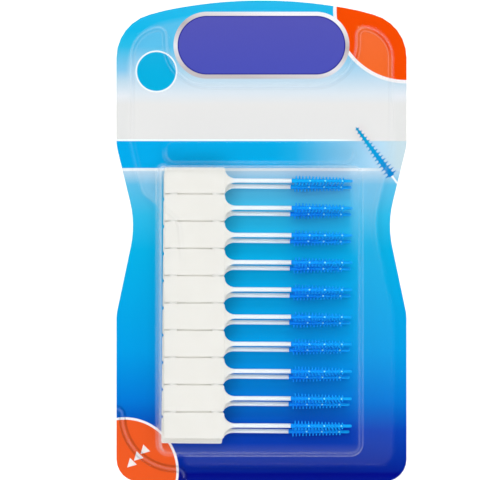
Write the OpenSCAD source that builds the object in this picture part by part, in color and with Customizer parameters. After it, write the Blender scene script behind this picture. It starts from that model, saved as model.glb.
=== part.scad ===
// Carded blister pack with two stacked combs of snap-off interdental brushes.
// The pack lies on its back: +X is the side of the tips, +Y the head of the card, +Z the front.
// The origin is the middle of the card's back face.

/* [Backing card] */
// Width of the card across the head and the body
card_w = 85; // [83:0.5:90]
// Height of the card from the foot to the top of the arch
card_l = 141; // [139:0.5:150]
// Thickness of the board
card_t = 0.6; // [0.4:0.05:1.2]
// Width of the card across the waist, where its slanting sides would meet
waist_w = 73.8; // [72.5:0.1:78]
// Distance from the top of the arch down to where the head starts to narrow
head_drop = 42.5; // [38:0.5:46]
// Distance from the top of the arch down to the middle of the waist
waist_drop = 65.5; // [62:0.5:70]
// Distance from the top of the arch down to where the body has its full width again
hip_drop = 92; // [88:0.5:98]
// Radius of the arch along the top edge
arch_r = 138; // [110:1:200]
// Radius of the two top corners
head_corner_r = 13; // [9:0.5:14]
// Radius of the two bottom corners
foot_corner_r = 6.5; // [5:0.5:9]
// Radius of the bend at the waist
waist_r = 30; // [15:1:36]
// Radius of the bends above and below the waist
bend_r = 14; // [8:1:18]

/* [Blister shell] */
// Thickness of the clear sheet
sheet_t = 0.4; // [0.25:0.05:0.5]
// Inside height of the cavity above the card
cavity_h = 6.6; // [6.2:0.1:9]
// Inside height of the platform above the card
platform_h = 1.6; // [1:0.1:2.2]
// Inside height of the header bar above the card
header_h = 2.8; // [2.6:0.1:4]
// Width of the flat sealing flange along the sides and the head
flange_w = 3.9; // [3:0.1:4.4]
// Width of the flat sealing flange along the foot
foot_flange_w = 4.7; // [4:0.1:5.2]
// Radius of the cavity's corners at the foot of the pack
cavity_corner_r = 3.2; // [2.5:0.1:5]
// Radius of the cavity's corners beside the header bar
cavity_top_r = 1.8; // [1:0.1:2.5]
// Radius of the platform's corner at the foot of the pack
platform_corner_r = 4.4; // [3:0.1:6]
// Clear space between the grip ends and the cavity's left wall
room_left = 1.5; // [0.8:0.05:1.6]
// Clear space between the tips and the cavity's right wall
room_right = 2.3; // [1:0.1:3]
// Clear space between the first grip and the cavity's top wall
room_top = 0.3; // [0.2:0.05:1]
// Clear space between the last front grip and the cavity's bottom wall
room_bottom = 4.4; // [3:0.1:4.4]
// Length of the header bar
header_l = 55.6; // [48:0.2:57]
// Width of the header bar
header_w = 7; // [6:0.2:7.4]
// Gap between the cavity and the header bar
header_gap = 0.5; // [0.4:0.1:0.8]
// Width of the notch in the platform that leaves the card's panel flat
notch_w = 55; // [50:0.2:56]
// Distance from the top of the arch down to the foot of that notch
notch_drop = 24.6; // [24:0.1:28]
// Radius of the notch's two corners at its foot
notch_r = 12; // [3:0.5:13]
// Radius of the corners of the lobes beside the notch
lobe_r = 2.8; // [2:0.2:3.4]
// Distance from the card's left edge to the middle of the peel bead's arc
bead_from_left = 17.6; // [15:0.1:18]
// Distance from the card's foot to the middle of the peel bead's arc
bead_from_foot = 19.6; // [17:0.1:20]
// Radius of the peel bead's middle line
bead_r = 15.9; // [12:0.1:16.4]
// Width of the peel bead at its foot
bead_w = 1.9; // [1.6:0.1:2.4]
// Width of the peel bead at its top
bead_top_w = 1; // [0.9:0.1:1.4]
// Inside height of the peel bead above the card
bead_h = 0.8; // [0.5:0.1:1.2]
// Gap between the peel bead's end and the platform
bead_gap = 2.2; // [1:0.1:4]

/* [Brush] */
// Number of brushes in each comb
brush_count = 10; // [10:1:10]
// Distance between the middle lines of neighbouring brushes
brush_pitch = 7.95; // [7.8:0.05:8.05]
// Width of the slit between neighbouring grips
slit_w = 0.45; // [0.3:0.05:0.8]
// Length of the grip from its butt to its shoulder
grip_l = 17.7; // [16:0.1:19]
// Thickness of the grip
grip_t = 2.2; // [1.8:0.05:2.5]
// Radius of the grip's corners
grip_corner_r = 0.5; // [0.3:0.05:0.7]
// Length of the hollow curve from the shoulder to the stem
cove_l = 3.1; // [2.4:0.1:4]
// Diameter of the stem
stem_d = 1.25; // [1:0.05:1.3]
// Length of the bare round stem between the hollow curve and the sleeve
stem_l = 16.3; // [14:0.1:18]
// Length of the rubber sleeve
sleeve_l = 17.9; // [16:0.1:19]
// Diameter of the sleeve where it starts on the stem
sleeve_d = 1.3; // [1.24:0.02:1.4]
// Diameter of the sleeve just before its round end
sleeve_end_d = 0.9; // [0.84:0.02:1]
// Diameter of the core pin where it enters the sleeve
pin_d = 0.66; // [0.5:0.02:0.7]
// Diameter of the core pin at its far end
pin_end_d = 0.4; // [0.3:0.02:0.44]
// Depth of rubber beyond the end of the core pin
nose_l = 1.2; // [0.8:0.1:1.6]
// Space between the core pin and the sleeve moulded round it
mould_gap = 0.01; // [0.005:0.005:0.02]
// Diameter of the small windows where the mould holds the core
window_d = 0.56; // [0.4:0.02:0.6]
// Length of each tie that joins two neighbouring grips
tie_l = 2.5; // [1.5:0.1:3]
// Thickness of each tie
tie_t = 1.7; // [0.5:0.05:1.75]
// Distance from the butt to the first tie
first_tie_x = 1.3; // [0.8:0.1:2]
// Distance from the butt to the second tie
second_tie_x = 14; // [10:0.1:14.4]

/* [Bristles] */
// Number of bristle rows along a sleeve
bristle_rows = 12; // [8:1:12]
// Distance from the sleeve's start to the first bristle row
first_row_x = 1.1; // [1:0.1:1.6]
// Distance from the last bristle row to the sleeve's end
last_row_x = 2; // [1.6:0.1:2.5]
// Reach of the first bristles from the sleeve's middle line
bristle_reach = 1.6; // [1.4:0.02:1.9]
// Reach of the last bristles from the sleeve's middle line
bristle_end_reach = 1; // [0.8:0.02:1.2]
// Width of a bristle at its root
bristle_w = 0.5; // [0.2:0.02:0.5]
// Width of a bristle at its tip
bristle_tip_w = 0.12; // [0.08:0.02:0.16]

/* [Layout] */
// Distance from the card's left edge to the front comb's grip ends
comb_from_left = 14; // [13:0.1:14.5]
// Distance from the top of the arch to the front comb's first grip
comb_from_top = 49.1; // [48.5:0.05:49.5]
// How far the rear comb sits to the left of the front comb
rear_left = 0.45; // [0:0.05:0.5]
// How far the rear comb sits below the front comb
rear_down = 1.7; // [1.4:0.05:2]
// Turn of the front comb about its middle, in degrees, seen from the front
front_turn = -0.25; // [-0.4:0.05:0]
// Turn of the rear comb about its middle, in degrees, seen from the front
rear_turn = -0.5; // [-0.6:0.05:0]
// Space between the stacked combs
stack_gap = 0.1; // [0.05:0.05:0.2]

/* [Hidden] */
// How far every cut runs past the face that it opens
cut = 0.5;
// Chords of a rounded corner and of the whole arch
corner_steps = 6;
arch_steps = 16;
// Facets of a round solid
$fn = 48;

// The half of the card's width, from its middle, that the arch's own points cover
arch_share = 0.66;
// How far down the slant from head to waist the platform's left edge turns in to the cavity
spill_share = 0.62;
// How far down the slant from head to waist that edge meets the cavity
spill_end_share = 0.98;
// Where the windows lie along the sleeve, and where the bristle roots lie in its wall
window_shares = [0.3, 0.55, 0.83];
root_share = 0.5;

card_side = card_w / 2;
card_top = card_l / 2;
grip_w = brush_pitch - slit_w;
comb_w = brush_pitch * brush_count - slit_w;
comb_x = comb_from_left - card_side;
comb_y = card_top - comb_from_top;
sleeve_x = grip_l + cove_l + stem_l;
brush_l = sleeve_x + sleeve_l;
pin_l = sleeve_l - nose_l;
rear_z = card_t + grip_t / 2;
front_z = rear_z + grip_t + stack_gap;

function two(k) = k < 9 ? str("0", k + 1) : str(k + 1);
ks = [0 : brush_count - 1];

// An outline is a list of corners, run anticlockwise, and a list of their radii
function unit(v) = v / norm(v);
function left_of(v) = [-v[1], v[0]];
function at(list, i) = list[(i + len(list)) % len(list)];
function heading(points, i) = unit(at(points, i + 1) - at(points, i));
function turn(points, i) = sign(cross(heading(points, i - 1), heading(points, i)));
function mirrored(points) = [for (i = [len(points) - 1 : -1 : 0]) [-points[i][0], points[i][1]]];
function reversed(list) = [for (i = [len(list) - 1 : -1 : 0]) list[i]];
function box_corners(low, high) = [low, [high[0], low[1]], high, [low[0], high[1]]];

// The corners moved inwards by d, each to where its two moved sides meet
function inset_corners(points, d) = [
    for (i = [0 : len(points) - 1])
        let (a = left_of(heading(points, i - 1)), b = left_of(heading(points, i)))
        points[i] + d * (a + b) / (1 + a * b)
];

// The radii that go with them: an outer corner's gets smaller and an inner corner's larger
function inset_radii(points, radii, d) = [
    for (i = [0 : len(points) - 1])
        radii[i] == 0 ? 0 : max(radii[i] - turn(points, i) * d, sheet_t)
];

// One corner's arc, as corner_steps chords
function corner_arc(points, i, r) =
    let (
        back = -heading(points, i - 1),
        ahead = heading(points, i),
        half = acos(back * ahead) / 2,
        centre = points[i] + unit(back + ahead) * r / sin(half),
        start = points[i] + back * r / tan(half) - centre,
        first = atan2(start[1], start[0]),
        sweep = turn(points, i) * (180 - 2 * half)
    )
    [for (k = [0 : corner_steps]) centre + r * direction(first + sweep * k / corner_steps)];
function direction(angle) = [cos(angle), sin(angle)];

function rounded(points, radii) = [
    for (i = [0 : len(points) - 1])
        each (radii[i] == 0 ? [points[i]] : corner_arc(points, i, radii[i]))
];
function inset(points, radii, d) = rounded(inset_corners(points, d), inset_radii(points, radii, d));

// The solid between a low and a high outline that have as many points each
module loft(low, low_z, high, high_z) {
    n = len(low);
    polyhedron(
        points = [for (p = low) [p[0], p[1], low_z], for (p = high) [p[0], p[1], high_z]],
        faces = [
            [for (i = [0 : n - 1]) i],
            [for (i = [n - 1 : -1 : 0]) n + i],
            for (i = [0 : n - 1]) let (j = (i + 1) % n) each [[i, n + i, n + j], [i, n + j, j]]
        ]
    );
}

// Card outline: the right side from the foot up, the arch from right to left, and the left side
function arch_y(x) = card_top - arch_r + sqrt(arch_r * arch_r - x * x);
right_corners = [
    [card_side, -card_top],
    [card_side, card_top - hip_drop],
    [waist_w / 2, card_top - waist_drop],
    [card_side, card_top - head_drop],
    [card_side, arch_y(card_side)]
];
right_radii = [foot_corner_r, bend_r, waist_r, bend_r, head_corner_r];
arch = [
    for (i = [arch_steps / 2 : -1 : -arch_steps / 2])
        let (x = 2 * card_side * arch_share * i / arch_steps) [x, arch_y(x)]
];
card_corners = concat(right_corners, arch, mirrored(right_corners));
card_radii = concat(right_radii, [for (p = arch) 0], reversed(right_radii));

// Platform outline: inside the flange, with a notch for the panel, and cut short by the cavity at the left
platform_side = inset_corners(card_corners, flange_w);
peel_end = [bead_from_left - card_side + bead_gap, foot_flange_w - card_top];
lobe_y = arch_y(notch_w / 2) - flange_w;
notch_y = card_top - notch_drop;
slant = platform_side[2] - platform_side[3];
spill = platform_side[3] + spill_share * slant;
spill_end = [comb_x + grip_w / 2, platform_side[3][1] + spill_end_share * slant[1]];
platform_corners = concat(
    [[platform_side[1][0], peel_end[1]]],
    [for (i = [1 : 4]) platform_side[i]],
    [[notch_w / 2, lobe_y], [notch_w / 2, notch_y], [-notch_w / 2, notch_y], [-notch_w / 2, lobe_y]],
    [for (i = [4, 3]) [-platform_side[i][0], platform_side[i][1]]],
    [[-spill[0], spill[1]], spill_end, [peel_end[0], comb_y - comb_w / 2], peel_end]
);
platform_radii = concat(
    [platform_corner_r, bend_r + flange_w, waist_r - flange_w, bend_r + flange_w, head_corner_r - flange_w],
    [lobe_r, notch_r, notch_r, lobe_r],
    [head_corner_r - flange_w, bend_r + flange_w],
    [lobe_r, lobe_r, lobe_r, lobe_r / 2]
);

// Cavity outline: the combs' own place, the clear space round them and the sheet
cavity_corners = box_corners(
    [comb_x - room_left - sheet_t, comb_y - comb_w - room_bottom - sheet_t],
    [comb_x + brush_l + room_right + sheet_t, comb_y + room_top + sheet_t]
);
cavity_radii = [cavity_corner_r, cavity_corner_r, cavity_top_r, cavity_top_r];

// Header bar outline: just above the cavity and over its middle, with round ends
header_x = (cavity_corners[0][0] + cavity_corners[2][0]) / 2;
header_y = cavity_corners[2][1] + header_gap;
header_corners = box_corners(
    [header_x - header_l / 2, header_y],
    [header_x + header_l / 2, header_y + header_w]
);
header_radii = [for (p = header_corners) header_w / 2 - sheet_t];

// One raised block of the shell. skin is how far the surface drawn lies inside the shell's outer face
module raised(points, radii, inner_h, skin) {
    below = skin > 0 ? cut : 0;
    translate([0, 0, card_t - below])
        linear_extrude(inner_h + sheet_t - skin + below)
            polygon(inset(points, radii, skin));
}

// The peel bead, a quarter turn round the corner that is lifted first
module bead(skin) {
    below = skin > 0 ? cut : 0;
    top_h = bead_h + sheet_t - skin;
    translate([bead_from_left - card_side, bead_from_foot - card_top, card_t])
        rotate([0, 0, 180])
            rotate_extrude(angle = 90)
                translate([bead_r, 0])
                    polygon([[-bead_w / 2 + skin, -below], [bead_w / 2 - skin, -below],
                             [bead_top_w / 2 - skin, top_h], [-bead_top_w / 2 + skin, top_h]]);
}

module shell_blocks(skin) {
    raised(platform_corners, platform_radii, platform_h, skin);
    raised(header_corners, header_radii, header_h, skin);
    raised(cavity_corners, cavity_radii, cavity_h, skin);
    bead(skin);
}

// Printed board at the back of the pack
module backing_card() {
    color("deepskyblue")
        linear_extrude(card_t)
            polygon(rounded(card_corners, card_radii));
}

// Clear thermoformed sheet, sealed to the card by its flange
module blister_shell() {
    color("lightcyan", 0.3)
        difference() {
            union() {
                translate([0, 0, card_t])
                    linear_extrude(sheet_t)
                        polygon(rounded(card_corners, card_radii));
                shell_blocks(0);
            }
            shell_blocks(sheet_t);
        }
}

// Puts a brush in its comb: its own frame has the butt at 0, the tip along +X and the middle line on X
module in_comb(front, k) {
    comb_middle = [comb_x + brush_l / 2, comb_y - comb_w / 2, 0];
    shift = front ? [0, 0, front_z] : [-rear_left, -rear_down, rear_z];
    translate(comb_middle + shift)
        rotate([0, 0, front ? front_turn : rear_turn])
            translate([-brush_l / 2, comb_w / 2 - grip_w / 2 - k * brush_pitch, 0])
                children();
}

// Half of the grip and its hollow curve seen from the front, from the butt to the stem
cove_h = grip_w / 2 - grip_corner_r - stem_d / 2;
grip_half = concat(
    [for (k = [0 : corner_steps])
        [grip_corner_r, grip_w / 2 - grip_corner_r]
            + grip_corner_r * direction(180 - 90 * k / corner_steps)],
    [for (k = [0 : corner_steps])
        [grip_l - grip_corner_r, grip_w / 2 - grip_corner_r]
            + grip_corner_r * direction(90 - 90 * k / corner_steps)],
    [for (k = [1 : 2 * corner_steps])
        let (angle = 45 * k / corner_steps)
        [grip_l + cove_l * (1 - cos(angle)), stem_d / 2 + cove_h * (1 - sin(angle))]]
);
module grip_plan() {
    polygon(concat(grip_half, [for (p = reversed(grip_half)) [p[0], -p[1]]]));
}

// The grip seen from its side: flat, then thinning to the stem along the hollow curve
module grip_side() {
    polygon([[-cut, -grip_t / 2], [grip_l, -grip_t / 2], [grip_l + cove_l, -stem_d / 2],
             [grip_l + cove_l, stem_d / 2], [grip_l, grip_t / 2], [-cut, grip_t / 2]]);
}

// Stiff core: grip, stem, the pin inside the rubber, and the ties to the next brush
module core(front, k) {
    color("whitesmoke")
        in_comb(front, k) {
            intersection() {
                translate([0, 0, -grip_t / 2])
                    linear_extrude(grip_t)
                        grip_plan();
                rotate([90, 0, 0])
                    translate([0, 0, -grip_w / 2])
                        linear_extrude(grip_w)
                            grip_side();
            }
            translate([grip_l, 0, 0])
                rotate([0, 90, 0])
                    cylinder(d = stem_d, h = cove_l + stem_l);
            translate([sleeve_x, 0, 0])
                rotate([0, 90, 0])
                    pin(0);
            if (k < brush_count - 1)
                for (x = [first_tie_x, second_tie_x])
                    translate([x, -grip_w / 2 - slit_w, -tie_t / 2])
                        cube([tie_l, slit_w + grip_corner_r, tie_t]);
        }
}

// The pin that the rubber is moulded round, or, with a gap, the bore that it fills
module pin(gap) {
    below = gap > 0 ? cut : 0;
    taper = (pin_d - pin_end_d) / pin_l;
    translate([0, 0, -below])
        cylinder(d1 = pin_d + 2 * gap + taper * below, d2 = pin_end_d + 2 * gap - taper * gap,
                 h = pin_l + gap + below);
}

// Outer form of the sleeve along Z: a slow cone with a round end
module sleeve_body() {
    end_r = sleeve_end_d / 2;
    rotate_extrude()
        polygon(concat(
            [[0, 0], [sleeve_d / 2, 0]],
            [for (k = [0 : corner_steps])
                [0, sleeve_l - end_r] + end_r * direction(90 * k / corner_steps)]
        ));
}

// One bristle along Y at place x on the sleeve: four-sided, thinner at its tip, rooted in the wall
module bristle(x, side) {
    along = x / sleeve_l;
    wall_r = (sleeve_d + (sleeve_end_d - sleeve_d) * along) / 2;
    bore_r = (pin_d + (pin_end_d - pin_d) * along) / 2;
    root = bore_r + (wall_r - bore_r) * root_share;
    reach = bristle_reach + (bristle_end_reach - bristle_reach) * along;
    square = [[-1, -1], [1, -1], [1, 1], [-1, 1]] / 2;
    translate([x, 0, 0])
        rotate([-90 * side, 0, 0])
            loft(square * bristle_w, root, square * bristle_tip_w, reach);
}

// Rubber sleeve moulded round the pin, with its bristles and the windows over the pin
module sleeve(front, k) {
    row_step = (sleeve_l - first_row_x - last_row_x) / (bristle_rows - 1);
    color("dodgerblue")
        in_comb(front, k)
            translate([sleeve_x, 0, 0]) {
                difference() {
                    rotate([0, 90, 0]) sleeve_body();
                    rotate([0, 90, 0]) pin(mould_gap);
                    for (share = window_shares)
                        translate([sleeve_l * share, 0, 0])
                            cylinder(d = window_d, h = sleeve_d);
                }
                for (row = [0 : bristle_rows - 1], side = [-1, 1])
                    bristle(first_row_x + row * row_step, side);
            }
}

backing_card();
blister_shell();
for (k = ks) {
    core(true, k);
    sleeve(true, k);
    core(false, k);
    sleeve(false, k);
}
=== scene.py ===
import math

import bpy
import numpy as np
from mathutils.geometry import delaunay_2d_cdt
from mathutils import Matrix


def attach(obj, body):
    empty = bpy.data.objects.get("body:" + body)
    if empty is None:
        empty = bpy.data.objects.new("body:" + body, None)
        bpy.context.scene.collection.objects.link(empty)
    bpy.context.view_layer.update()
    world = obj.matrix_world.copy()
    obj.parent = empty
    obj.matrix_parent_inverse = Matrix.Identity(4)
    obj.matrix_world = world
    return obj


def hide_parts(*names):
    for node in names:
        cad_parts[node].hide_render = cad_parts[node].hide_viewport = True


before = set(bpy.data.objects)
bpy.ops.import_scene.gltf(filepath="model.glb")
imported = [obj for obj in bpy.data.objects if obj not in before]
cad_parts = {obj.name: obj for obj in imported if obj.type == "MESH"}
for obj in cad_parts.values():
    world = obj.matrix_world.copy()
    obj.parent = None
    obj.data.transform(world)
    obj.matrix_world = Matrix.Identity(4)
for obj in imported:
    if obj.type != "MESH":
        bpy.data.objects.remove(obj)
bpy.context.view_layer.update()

# Every size below is in millimetres, and MM turns it into the scene's metres
MM = 0.001

# The card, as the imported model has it
CARD_W, CARD_L, CARD_T = 85.0, 141.0, 0.6
WAIST_W = 73.8
HEAD_DROP, WAIST_DROP, HIP_DROP = 42.5, 65.5, 92.0
ARCH_R = 138.0
ARCH_SHARE = 0.66
ARCH_STEPS = 16
HEAD_CORNER_R, FOOT_CORNER_R, WAIST_R, BEND_R = 13.0, 6.5, 30.0, 14.0
CARD_SIDE, CARD_TOP = CARD_W / 2, CARD_L / 2

# The clear shell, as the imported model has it
SHEET_T = 0.4
CAVITY_H, PLATFORM_H, HEADER_H, BEAD_H = 6.6, 1.6, 2.8, 0.8
FLANGE_W, FOOT_FLANGE_W = 3.9, 4.7
CAVITY_R, CAVITY_TOP_R = 3.2, 1.8
PLATFORM_R, LOBE_R, NOTCH_R = 4.4, 2.8, 12.0
ROOM_LEFT, ROOM_RIGHT, ROOM_TOP, ROOM_BOTTOM = 1.5, 2.3, 0.3, 4.4
HEADER_L, HEADER_W, HEADER_GAP = 55.6, 7.0, 0.5
NOTCH_W, NOTCH_DROP = 55.0, 24.6
SPILL_SHARE, SPILL_END_SHARE = 0.62, 0.98
BEAD_X, BEAD_Y, BEAD_R, BEAD_W, BEAD_GAP = 17.6, 19.6, 15.9, 1.9, 2.2
BEAD_HOOK_R, BEAD_TAIL_R = 1.7, 2.2

# The brushes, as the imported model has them
BRUSHES, PITCH, SLIT_W = 10, 7.95, 0.45
GRIP_L, GRIP_T, GRIP_R, COVE_L = 17.7, 2.2, 0.5, 3.1
STEM_D, STEM_L = 1.25, 16.3
SLEEVE_L, SLEEVE_D, SLEEVE_END_D = 17.9, 1.3, 0.9
PIN_D, PIN_END_D, NOSE_L = 0.66, 0.4, 1.2
TIE_L, TIE_XS = 2.5, (1.3, 14.0)
WINDOW_D, WINDOW_SHARES = 0.56, (0.3, 0.55, 0.83)
COMB_FROM_LEFT, COMB_FROM_TOP = 14.0, 49.1
REAR_LEFT, REAR_DOWN = 0.45, 1.7
FRONT_TURN, REAR_TURN = -0.25, -0.5
STACK_GAP = 0.1

GRIP_W = PITCH - SLIT_W
COMB_W = PITCH * BRUSHES - SLIT_W
SLEEVE_X = GRIP_L + COVE_L + STEM_L
BRUSH_L = SLEEVE_X + SLEEVE_L
COMB_X = COMB_FROM_LEFT - CARD_SIDE
COMB_Y = CARD_TOP - COMB_FROM_TOP
REAR_Z = CARD_T + GRIP_T / 2
FRONT_Z = REAR_Z + GRIP_T + STACK_GAP

# What the photo shows finer than the imported model: ties flush with the grips, a pale bar deep in each slit,
# and rows of short stout strands. The bar in each slit is painted light, standing in for the light that comes
# through the white plastic. A strand's widths stand at its levels, which are shares of its way out
TIE_T, TIE_ROOT, TIE_EDGE = 2.19, 0.1, 0.02
SLIT_LIGHT_T, SLIT_LIGHT_INSET, SLIT_LIGHT_EDGE = 1.4, 0.35, 0.05
GRIP_EDGE = 0.1
ROWS, FIRST_ROW, LAST_ROW = 15, 1.35, 2.8
REACH, END_REACH, ROOT_SHARE = 1.58, 0.9, 0.7
STRAND_W, STRAND_SIDES = 0.58, 5
STRAND_LEVELS = np.array([0.0, 0.45, 0.85, 0.97])
STRAND_WIDTHS = np.array([1.0, 0.85, 0.66, 0.42])
SPOKES = np.radians([-35, 0, 35, 145, 180, 215])
SLEEVE_SIDES, SLEEVE_EDGE, SLEEVE_EDGE_L = 16, 0.1, 0.12

# A window's dome: the share of its radius and the lift off the rubber of each ring, and the lift of its top
WINDOW_SIDES, WINDOW_TOP = 10, 0.06
WINDOW_RINGS, WINDOW_LIFTS = np.array([1.0, 0.98, 0.6]), np.array([-0.12, 0.0, 0.05])

# How the thermoformed sheet departs from square walls: its leans, its roundings and its ripple
CAVITY_LEAN, HEADER_LEAN, PLATFORM_LEAN, BEAD_LEAN = 0.9, 0.8, 0.6, 0.5
CAVITY_EDGE, LOW_EDGE = 0.3, 0.22
MEET_R = 0.12
RIPPLE = 0.03
SEAL_GAP = 0.02
RING_STEP = 0.7
ROOF_STEP = 2.4
RIM_RINGS = (0.15, 0.4, 0.8)
RING_GAP = 0.17
GRID_GAP = 0.6
BEAD_RINGS = 15
# How far out and in the rings run from the outlines of the cavity, the header, the platform and the bead
DEPTH_SPANS = ((-1.1, 1.7), (-1.0, 1.4), (-0.9, 1.8), (-0.6, BEAD_W / 2))


# Outlines: arrays of corners run anticlockwise, with one radius for each corner

def headings(corners):
    """Unit vector from each corner to the next."""
    ahead = np.roll(corners, -1, axis=0) - corners
    return ahead / np.linalg.norm(ahead, axis=1, keepdims=True)


def left_of(vectors):
    """Each vector turned a quarter turn anticlockwise."""
    return np.stack([-vectors[:, 1], vectors[:, 0]], axis=1)


def inset_corners(corners, distance):
    """Each corner moved to where its two sides meet once both are moved inwards by distance."""
    ahead = left_of(headings(corners))
    behind = np.roll(ahead, 1, axis=0)
    dots = (ahead * behind).sum(axis=1, keepdims=True)
    return corners + distance * (ahead + behind) / (1 + dots)


def rounded(corners, radii, steps=10):
    """Each corner becomes the arc of its radius that touches both its sides, in equal steps."""
    radii = np.asarray(radii, float)
    ahead = headings(corners)
    back = -np.roll(ahead, 1, axis=0)
    half = np.arccos(np.clip((back * ahead).sum(axis=1), -1, 1)) / 2
    middle = back + ahead
    middle = middle / np.maximum(np.linalg.norm(middle, axis=1, keepdims=True), 1e-9)
    centre = corners + middle * (radii / np.sin(half))[:, None]
    start = corners + back * (radii / np.tan(half))[:, None] - centre
    cross = -back[:, 0] * ahead[:, 1] + back[:, 1] * ahead[:, 0]
    sweep = np.sign(cross) * (math.pi - 2 * half)
    angle = np.arctan2(start[:, 1], start[:, 0])[:, None] + sweep[:, None] * np.linspace(0, 1, steps + 1)
    spokes = np.stack([np.cos(angle), np.sin(angle)], axis=-1)
    return (centre[:, None, :] + radii[:, None, None] * spokes).reshape(-1, 2)


def evenly(points, spacing, closed=True):
    """The line through points, walked in equal steps of about spacing."""
    if closed:
        points = np.vstack([points, points[:1]])
    gaps = np.linalg.norm(np.diff(points, axis=0), axis=1)
    kept = np.concatenate([[True], gaps > 1e-6])
    points = points[kept]
    along = np.concatenate([[0], np.cumsum(np.linalg.norm(np.diff(points, axis=0), axis=1))])
    count = int(math.ceil(along[-1] / spacing))
    places = np.linspace(0, along[-1], count + 1)
    walked = np.stack([np.interp(places, along, points[:, i]) for i in range(2)], axis=1)
    return walked[:-1] if closed else walked


def arch_y(x):
    """Height of the card's top edge at x: a circle of radius ARCH_R whose top is CARD_TOP."""
    return CARD_TOP - ARCH_R + np.sqrt(ARCH_R ** 2 - np.asarray(x) ** 2)


def mirrored(points):
    """The points of the right side as the left side has them, in running order."""
    return points[::-1] * np.array([-1, 1])


def box_corners(low, high):
    return np.array([low, (high[0], low[1]), high, (low[0], high[1])])


def card_corners():
    """The right side from the foot up, the arch from right to left, then the left side."""
    right = np.array([
        (CARD_SIDE, -CARD_TOP),
        (CARD_SIDE, CARD_TOP - HIP_DROP),
        (WAIST_W / 2, CARD_TOP - WAIST_DROP),
        (CARD_SIDE, CARD_TOP - HEAD_DROP),
        (CARD_SIDE, arch_y(CARD_SIDE)),
    ])
    radii = np.array([FOOT_CORNER_R, BEND_R, WAIST_R, BEND_R, HEAD_CORNER_R])
    xs = CARD_SIDE * ARCH_SHARE * np.linspace(1, -1, ARCH_STEPS + 1)
    arch = np.stack([xs, arch_y(xs)], axis=1)
    corners = np.vstack([right, arch, mirrored(right)])
    return corners, np.concatenate([radii, np.zeros(len(arch)), radii[::-1]])


def platform_corners():
    """Inside the flange, with a notch at the head, and cut short by the cavity at the left."""
    side = inset_corners(card_corners()[0], FLANGE_W)
    foot_x = BEAD_X - CARD_SIDE + BEAD_GAP
    foot_y = FOOT_FLANGE_W - CARD_TOP
    half = NOTCH_W / 2
    lobe_y = float(arch_y(half)) - FLANGE_W
    notch_y = CARD_TOP - NOTCH_DROP
    slant = side[2] - side[3]
    spill = side[3] + SPILL_SHARE * slant
    spill_end = (COMB_X + GRIP_W / 2, side[3][1] + SPILL_END_SHARE * slant[1])
    corners = np.array([
        (side[1][0], foot_y), side[1], side[2], side[3], side[4],
        (half, lobe_y), (half, notch_y), (-half, notch_y), (-half, lobe_y),
        (-side[4][0], side[4][1]), (-side[3][0], side[3][1]),
        (-spill[0], spill[1]), spill_end, (foot_x, COMB_Y - COMB_W / 2), (foot_x, foot_y),
    ])
    outer_r = HEAD_CORNER_R - FLANGE_W
    bend, waist = BEND_R + FLANGE_W, WAIST_R - FLANGE_W
    radii = [PLATFORM_R, bend, waist, bend, outer_r, LOBE_R, NOTCH_R, NOTCH_R, LOBE_R,
             outer_r, bend, LOBE_R, LOBE_R, LOBE_R, LOBE_R / 2]
    return corners, radii


CAVITY_LOW = (COMB_X - ROOM_LEFT - SHEET_T, COMB_Y - COMB_W - ROOM_BOTTOM - SHEET_T)
CAVITY_HIGH = (COMB_X + BRUSH_L + ROOM_RIGHT + SHEET_T, COMB_Y + ROOM_TOP + SHEET_T)
HEADER_Y = CAVITY_HIGH[1] + HEADER_GAP

CARD_LINE = evenly(rounded(*card_corners()), RING_STEP)
PLATFORM_LINE = evenly(rounded(*platform_corners()), RING_STEP)
CAVITY_RADII = [CAVITY_R, CAVITY_R, CAVITY_TOP_R, CAVITY_TOP_R]
CAVITY_LINE = evenly(rounded(box_corners(CAVITY_LOW, CAVITY_HIGH), CAVITY_RADII), RING_STEP)
HEADER_X = (CAVITY_LOW[0] + CAVITY_HIGH[0]) / 2
HEADER_CORNERS = box_corners(
    (HEADER_X - HEADER_L / 2, HEADER_Y), (HEADER_X + HEADER_L / 2, HEADER_Y + HEADER_W))
HEADER_LINE = evenly(rounded(HEADER_CORNERS, [HEADER_W / 2 - SHEET_T] * 4), RING_STEP)


def arc(centre, radius, first, last, steps):
    """Points of a circle from one angle to another, in degrees."""
    turn = np.radians(np.linspace(first, last, steps))
    return np.array(centre) + radius * np.stack([np.cos(turn), np.sin(turn)], axis=1)


# The bead's middle line: a hook in from the card's side, the quarter turn, and a hook out to the foot
BEAD_CENTRE = (BEAD_X - CARD_SIDE, BEAD_Y - CARD_TOP)
BEAD_LINE = evenly(np.vstack([
    arc((BEAD_CENTRE[0] - BEAD_R - BEAD_HOOK_R, BEAD_CENTRE[1]), BEAD_HOOK_R, 90, 0, 12),
    arc(BEAD_CENTRE, BEAD_R, 180, 270, 60),
    arc((BEAD_CENTRE[0], BEAD_CENTRE[1] - BEAD_R - BEAD_TAIL_R), BEAD_TAIL_R, 90, 0, 12),
]), RING_STEP / 2, closed=False)


# The clear shell: a height over the card, worked out from distances to the outlines

# How many points are set against a line at a time, which keeps the arrays small
BATCH = 4000


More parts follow.
